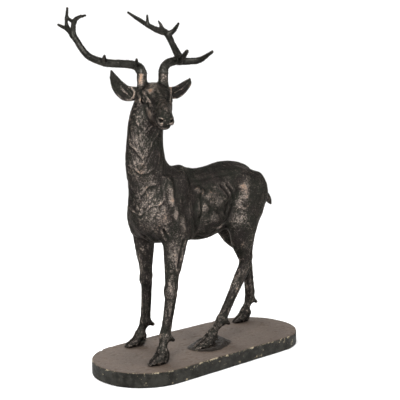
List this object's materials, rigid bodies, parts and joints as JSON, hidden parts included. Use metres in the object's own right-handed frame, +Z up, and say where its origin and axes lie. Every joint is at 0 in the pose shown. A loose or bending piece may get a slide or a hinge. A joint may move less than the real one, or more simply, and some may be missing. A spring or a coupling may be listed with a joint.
{
  "type": "cast iron stag statue",
  "caption": "Cast iron stag standing on a round-ended plinth, head turned to its left, with branching antlers; stands by its own weight as an ornament.",
  "frame": {"origin": "centre of the plinth's underside", "axes": "+Z up; the stag heads along -X and its left flank faces -Y"},
  "size_m": [0.45, 0.2684, 0.6345],
  "materials": {
    "plinth_iron": "dull weathered top with a worn edge",
    "body_iron": "dark bronzed iron with rubbed coppery high spots",
    "antler_iron": "dark satin iron"
  },
  "bodies": {
    "root": {"plinth": "plinth_iron", "stag": "body_iron", "antler_right": "antler_iron", "antler_left": "antler_iron"}
  },
  "joints": []
}
